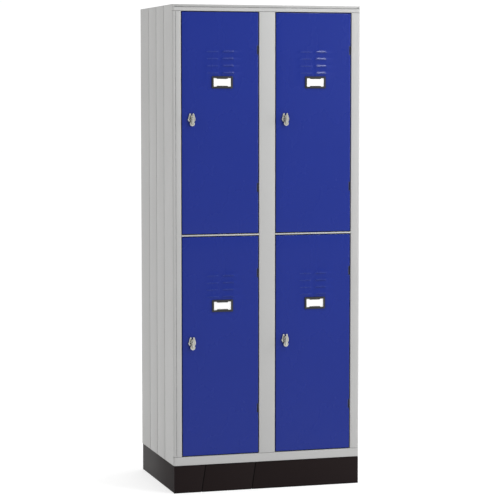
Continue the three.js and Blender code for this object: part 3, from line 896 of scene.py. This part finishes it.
def door_panels():
    bm = bmesh.new()
    flat, xs, zs = door_face(bm)
    door_flange(bm, flat, xs, zs)
    loose = [v for v in bm.verts if not v.link_faces]
    bmesh.ops.delete(bm, geom=loose, context="VERTS")
    skin = finished("door_panel", bm, DOOR_PAINT, thickness=SHEET, sharp=50)
    tabs = bmesh.new()
    tabs.from_mesh(skin)
    bmesh.ops.scale(tabs, vec=Vector((1, 1, 1)) / MM, verts=tabs.verts[:])
    for height in DOOR.hinge_heights:
        hinge_tab(tabs, height + NOTCH_HALF, height + NOTCH_HALF + 1.5)
        hinge_tab(tabs, height - NOTCH_HALF - 1.5, height - NOTCH_HALF)
    mesh = finished("door_panel", tabs, DOOR_PAINT, sharp=50)

    stiffener = bmesh.new()
    low, high = corners("door_stiffener_" + DOORS[2])
    low, high = low - DOOR.origin, high - DOOR.origin
    brim = 8.0
    path = [
        (low.x, low.y),
        (low.x + brim, low.y, 1.2),
        (low.x + brim, high.y - SHEET, 2.0),
        (high.x - brim, high.y - SHEET, 2.0),
        (high.x - brim, low.y, 1.2),
        (high.x, low.y),
    ]
    sweep(stiffener, sheet(path), [low.z, high.z], upright)
    channel = finished("door_stiffener", stiffener, DOOR_PAINT, 0.2)
    for name in DOORS:
        at = Vector((corners("door_panel_" + name)[0].x, FRONT, corners("door_panel_" + name)[0].z))
        put("door_skin_" + name, mesh, "door_" + name, ["door_panel_" + name], at)
        put("door_channel_" + name, channel, "door_" + name, ["door_stiffener_" + name], at)


# ---------------------------------------------------------------- label holders


def label_holders():
    """A black frame with a dog-bone window over a white card, drawn about its centre."""
    low, high = corners("label_frame_" + DOORS[2])
    half = (high - low) / 2
    thick = high.y - low.y
    outline = rounded([
        (-half.x, -half.z, 3.0),
        (half.x, -half.z, 3.0),
        (half.x, half.z, 3.0),
        (-half.x, half.z, 3.0),
    ])
    end, step, waist = 32.8, 22.5, 19.5
    tall, short = 15.6, 12.6
    quarter = [(end, tall, 1.0), (step, tall, 0.8), (waist, short, 1.5)]
    window = [
        *quarter,
        *[(-x, z, r) for x, z, r in reversed(quarter)],
        *[(-x, -z, r) for x, z, r in quarter],
        *[(x, -z, r) for x, z, r in reversed(quarter)],
    ]
    bm = bmesh.new()
    slab(bm, outline, -thick, 0)
    hole = bmesh.new()
    slab(hole, rounded(window), -thick - 1, 1)
    pocket = bmesh.new()
    card_low, card_high = corners("label_card_" + DOORS[2])
    card = (card_high - card_low) / 2
    block(pocket, (-card.x - 0.3, -1.0, -card.z - 0.3), (card.x + 0.3, 1, card.z + 0.3))
    holder = finished("label_frame", bm, LABEL_BLACK, 0.4, 3, cuts=[hole, pocket])

    bm = bmesh.new()
    slab(bm, rounded([
        (-card.x, -card.z, 1.5),
        (card.x, -card.z, 1.5),
        (card.x, card.z, 1.5),
        (-card.x, card.z, 1.5),
    ]), card_low.y - card_high.y, 0)
    paper = finished("label_card", bm, CARD_WHITE, 0.08, 1)
    pieces = ((holder, "label_frame"), (paper, "label_card"))
    for name in DOORS:
        for mesh, slot in pieces:
            node = slot + "_"
            low, high = corners(node + name)
            at = ((low.x + high.x) / 2, high.y, (low.z + high.z) / 2)
            put(slot + "_piece_" + name, mesh, "door_" + name, [node + name], at)


# ---------------------------------------------------------------- latches
# Drawn about the spindle's axis where it meets the door's face: x to the right, z up.

EAR_X = -8.5


def curve(points, steps=10):
    """Points on a cubic Bezier curve, without its last."""
    a, b, c, d = (Vector(p) for p in points)
    made = []
    for k in range(steps):
        t = k / steps
        u = 1 - t
        made.append(a * u**3 + b * 3 * u * u * t + c * 3 * u * t * t + d * t**3)
    return [(p.x, p.y) for p in made]


def lever_outline():
    """A slender arm over the spindle that ends in a round grip below it."""
    return [
        *curve([(4.8, -2), (4.8, 4), (5.4, 6), (5.4, 9)]),
        *arc(0, 9, 5.4, 0, 180, 16),
        *curve([(-5.4, 9), (-5.4, 6), (-4.8, 4), (-4.8, -2)]),
        *curve([(-4.8, -2), (-4.8, -7), (-6.2, -9), (-8.2, -12.5)]),
        *arc(0, -15.5, 9.0, 160, 380, 22),
        *curve([(8.2, -12.5), (6.2, -9), (4.8, -7), (4.8, -2)]),
    ]


def horn_outline():
    """Two horns that rise from the rose, with a notch between them."""
    return [
        (13, 3),
        *arc(6.1, 18.7, 2.9, 15, 165, 12),
        *arc(0, 12.6, 3.2, 0, -180, 12),
        *arc(-6.1, 18.7, 2.9, 15, 165, 12),
        (-13, 3),
    ]


def tidy_outline(points, apart=0.25):
    """The outline without points that nearly coincide."""
    kept = []
    for point in points:
        if not kept or math.dist(point, kept[-1]) > apart:
            kept.append(point)
    if math.dist(kept[0], kept[-1]) <= apart:
        kept.pop()
    return kept


def lock_plate_mesh():
    """A round rose with two horns above it, and a raised ear on its left that is pierced for a padlock."""
    bm = bmesh.new()
    lathe(bm, [(0, -0.3), (13.5, -0.3), (13.5, -3.3), (0, -3.3)], "y", steps=64)
    horns = bmesh.new()
    slab(horns, tidy_outline(horn_outline()), -3.3, -0.3)
    ear = bmesh.new()
    boss = [(0, -0.3), (6.5, -0.3), (6.5, -4.9), (6.2, -5.4), (5.6, -5.6), (0, -5.6)]
    lathe(ear, boss, "y", (EAR_X, 0, 0), 48)
    hole = bmesh.new()
    lathe(hole, [(0, -1.0), (2.7, -1.0), (2.7, -8), (0, -8)], "y", (EAR_X, 0, 0), 32)
    bore = bmesh.new()
    lathe(bore, [(0, 2), (6.3, 2), (6.3, -9), (0, -9)], "y", steps=40)
    return finished("lock_plate", bm, ZINC, 0.9, 3, joins=[horns, ear], cuts=[hole, bore])


def latch_knob_mesh():
    """The lever with an upright finger ridge on it, and the spindle that carries the cam."""
    bm = bmesh.new()
    slab(bm, tidy_outline(lever_outline()), -12.5, -6.3)
    ridge = bmesh.new()
    lens = [*arc(35, -4.5, 38, 160, 200, 12), *arc(-35, -4.5, 38, -20, 20, 12)]
    slab(ridge, tidy_outline(lens), -18.5, -11.5)
    spindle = bmesh.new()
    lathe(spindle, [(0, -7), (6.0, -7), (6.0, 20.5), (5.4, 20.7), (0, 20.7)], "y", steps=40)
    square = bmesh.new()
    block(square, (-3.5, 20.2, -3.5), (3.5, 25, 3.5))
    head = bmesh.new()
    screw = [(0, 24.3), (6.0, 24.3), (6.0, 25.2), (5.2, 26.3), (2.2, 26.3), (2.2, 25.4), (0, 25.4)]
    lathe(head, screw, "y")
    return finished("latch_knob", bm, ZINC, 1.3, 3, joins=[ridge, spindle, square, head])


def latch_cam_mesh():
    low, high = corners("latch_cam_" + DOORS[2])
    bm = bmesh.new()
    tip = high.z - joint_place(f"latch_{DOORS[2]}_turn").z - 6
    blade = tidy_outline([*arc(0, tip, 6, 0, 180, 16), *arc(0, 0, 9, 200, 340, 16)])
    slab(bm, blade, low.y - FRONT, high.y - FRONT)
    hole = bmesh.new()
    block(hole, (-3.8, 15, -3.8), (3.8, 30, 3.8))
    return finished("latch_cam", bm, PLATED, 0.4, 2, cuts=[hole])


def latches():
    plate, knob, cam = lock_plate_mesh(), latch_knob_mesh(), latch_cam_mesh()
    for name in DOORS:
        at = joint_place(f"latch_{name}_turn")
        put("lock_rose_" + name, plate, "door_" + name, ["lock_plate_" + name], at)
        put("latch_lever_" + name, knob, "latch_" + name, ["latch_knob_" + name], at)
        put("latch_blade_" + name, cam, "latch_" + name, ["latch_cam_" + name], at)


# ---------------------------------------------------------------- hinges


KNUCKLE_HALF = 5.3
KNUCKLE_GAP = 0.25
BARREL_RADIUS = 3.0
PIN_RADIUS = 1.95
LEAF = 1.2  # thickness
LEAF_HALF = 14.5  # half its height


def hinges():
    """Three rolled knuckles on a pin, and a leaf that folds back along the post's return."""
    low, high = corners("hinge_upper_of_upper_left_door")
    half_pin = (high.z - low.z) / 2
    bm = bmesh.new()
    for k in (-1, 0, 1):
        middle = k * (2 * KNUCKLE_HALF + KNUCKLE_GAP)
        top, bottom = middle + KNUCKLE_HALF, middle - KNUCKLE_HALF
        barrel = [
            (0, bottom), (2.6, bottom), (BARREL_RADIUS, bottom + 0.4),
            (BARREL_RADIUS, top - 0.4), (2.6, top), (0, top),
        ]
        lathe(bm, barrel, "z", steps=24)
    pin = [
        (0, -half_pin), (1.4, -half_pin), (PIN_RADIUS, -half_pin + 0.6),
        (PIN_RADIUS, half_pin - 0.6), (1.4, half_pin), (0, half_pin),
    ]
    lathe(bm, pin, "z", steps=20)
    right = high.x - low.x - BARREL_RADIUS
    back = high.y - low.y - BARREL_RADIUS
    path = [(0.0, BARREL_RADIUS - LEAF), (right, BARREL_RADIUS - LEAF, 2.0), (right, back)]
    sweep(bm, sheet(path, LEAF), [-LEAF_HALF, LEAF_HALF], upright)
    mesh = finished("hinge", bm, HINGE_STEEL, 0.15)
    for name in DOORS:
        for end in ("lower", "upper"):
            node = f"hinge_{end}_of_{name}_door"
            low, high = corners(node)
            at = (low.x + BARREL_RADIUS, low.y + BARREL_RADIUS, (low.z + high.z) / 2)
            put(f"hinge_knuckles_{end}_{name}", mesh, "cabinet", [node], at)


# ---------------------------------------------------------------- coat hooks

BAR_THICKNESS = 2.0
BAR_CORNER = 6.0
HOOK_PLACES = (-80.0, 0.0, 80.0)
HOOK_BEND = ((-1.0, 0.0), (-24.0, -5.5, 8.0), (-36.0, -2.0, 6.0), (-37.0, 7.5))
ROD_RADIUS = 2.4
TIP_RADIUS = 3.6
TIP_PLACE = (0, -36.9, 8.0)


def tube(bm, path, radius, sides=12):
    """A round rod along a path in the (y, z) plane, centred on x = 0."""
    rings = []
    for i, here in enumerate(path):
        before = path[max(i - 1, 0)]
        after = path[min(i + 1, len(path) - 1)]
        along = (after - before).normalized()
        side = Vector((-along.y, along.x))
        ring = []
        for k in range(sides):
            angle = 2 * math.pi * k / sides
            flat = here + side * (radius * math.sin(angle))
            ring.append(bm.verts.new((radius * math.cos(angle), flat.x, flat.y)))
        rings.append(ring)
    for one, two in zip(rings, rings[1:]):
        for k in range(sides):
            n = (k + 1) % sides
            bm.faces.new((one[k], one[n], two[n], two[k]))
    bm.faces.new(rings[0])
    bm.faces.new(rings[-1])


def hook_rails():
    """A flat bar with rounded ends, and three bent rod hooks with ball tips."""
    low, high = corners("hook_rail_" + DOORS[2])
    half = (high - low) / 2
    bm = bmesh.new()
    outline = rounded([
        (-half.x, -half.z, BAR_CORNER),
        (half.x, -half.z, BAR_CORNER),
        (half.x, half.z, BAR_CORNER),
        (-half.x, half.z, BAR_CORNER),
    ])
    slab(bm, outline, -BAR_THICKNESS, 0)
    for x in HOOK_PLACES:
        rod = bmesh.new()
        tube(rod, rounded(HOOK_BEND, 10), ROD_RADIUS)
        tip = bmesh.ops.create_uvsphere(rod, u_segments=16, v_segments=10, radius=TIP_RADIUS)["verts"]
        bmesh.ops.translate(rod, vec=TIP_PLACE, verts=tip)
        spare = bpy.data.meshes.new("rod")
        rod.to_mesh(spare)
        rod.free()
        spare.transform(Matrix.Translation((x, 0, 0)))
        bm.from_mesh(spare)
    mesh = finished("hook_rail", bm, PLATED, 0.3)
    for name in DOORS:
        low, high = corners("hook_rail_" + name)
        at = ((low.x + high.x) / 2, high.y, (low.z + high.z) / 2)
        put("coat_hooks_" + name, mesh, "cabinet", ["hook_rail_" + name], at)


# ---------------------------------------------------------------- studio

FLOOR_HALF = 40000.0
FLOOR_GLOW = 0.62  # keeps the floor as white as the surroundings
COOL_WHITE = (0.94, 0.97, 1.0)


def floor():
    """A plain pale floor with a faint grain."""
    bm = bmesh.new()
    bmesh.ops.create_grid(bm, x_segments=2, y_segments=2, size=FLOOR_HALF)
    s = Shader("floor")
    tone = s.blend(s.noise(3.0, 2.0), (0.50, 0.50, 0.50), (0.54, 0.54, 0.54))
    grain = s.bump(s.noise(400.0, 2.0), 0.05, 0.0003)
    material = s.finish(tone, s.spread(s.noise(20.0), 0.3, 0.7, 0.85, 0.95), grain, Specular_IOR_Level=0.1)
    s.surface.inputs["Emission Color"].default_value = (1, 1, 1, 1)
    s.surface.inputs["Emission Strength"].default_value = FLOOR_GLOW
    ground = bpy.data.objects.new("floor", finished("floor", bm, material))
    bpy.context.scene.collection.objects.link(ground)


def area_light(name, place, target, size, power, mirrored=True, colour=(1.0, 1.0, 1.0)):
    data = bpy.data.lights.new(name, "AREA")
    data.color = colour
    data.shape = "RECTANGLE"
    data.size, data.size_y = size
    data.energy = power
    lamp = bpy.data.objects.new(name, data)
    bpy.context.scene.collection.objects.link(lamp)
    lamp.location = place
    lamp.visible_glossy = mirrored
    way = Vector(target) - Vector(place)
    lamp.rotation_euler = way.to_track_quat("-Z", "Y").to_euler()


SKY = 0.75  # mean brightness of the surroundings
SKY_LEAN = (0.44, 0.20, 0.12)  # how much brighter they are towards +X, +Y and +Z


def surroundings():
    """A white room that is a little brighter behind the locker, on its right and above."""
    world = bpy.data.worlds.new("studio")
    bpy.context.scene.world = world
    world.use_nodes = True
    nodes, links = world.node_tree.nodes, world.node_tree.links
    way = nodes.new("ShaderNodeTexCoord").outputs["Generated"]
    lean = nodes.new("ShaderNodeVectorMath")
    lean.operation = "DOT_PRODUCT"
    lean.inputs[1].default_value = SKY_LEAN
    links.new(way, lean.inputs[0])
    total = nodes.new("ShaderNodeMath")
    total.operation = "ADD"
    total.inputs[1].default_value = SKY
    links.new(lean.outputs["Value"], total.inputs[0])
    nodes["Background"].inputs["Color"].default_value = (1, 1, 1, 1)
    links.new(total.outputs["Value"], nodes["Background"].inputs["Strength"])


def studio():
    surroundings()
    area_light("key", (1.5, -2.1, 1.7), (0.1, -0.24, 1.2), (1.0, 1.0), 10, False)
    area_light("upper_right", (0.78, -1.45, 2.81), (0.2, -0.24, 1.6), (0.3, 0.3), 11, colour=COOL_WHITE)
    area_light("right_strip", (2.3, -0.8, 1.4), (0.0, -0.24, 1.1), (0.3, 1.8), 20)
    area_light("left_strip", (-2.8, -1.0, 2.5), (-0.36, -0.24, 1.9), (0.25, 1.0), 14)
    bpy.context.scene.view_settings.view_transform = "Standard"


# ---------------------------------------------------------------- assembly

posts()
crossbars()
rails()
side_panels()
top_panel()
for plain in PLAIN_SHEETS:
    paint_node(plain, FRAME_PAINT, 0.2)
plinth()
door_panels()
label_holders()
latches()
hinges()
hook_rails()
floor()
studio()
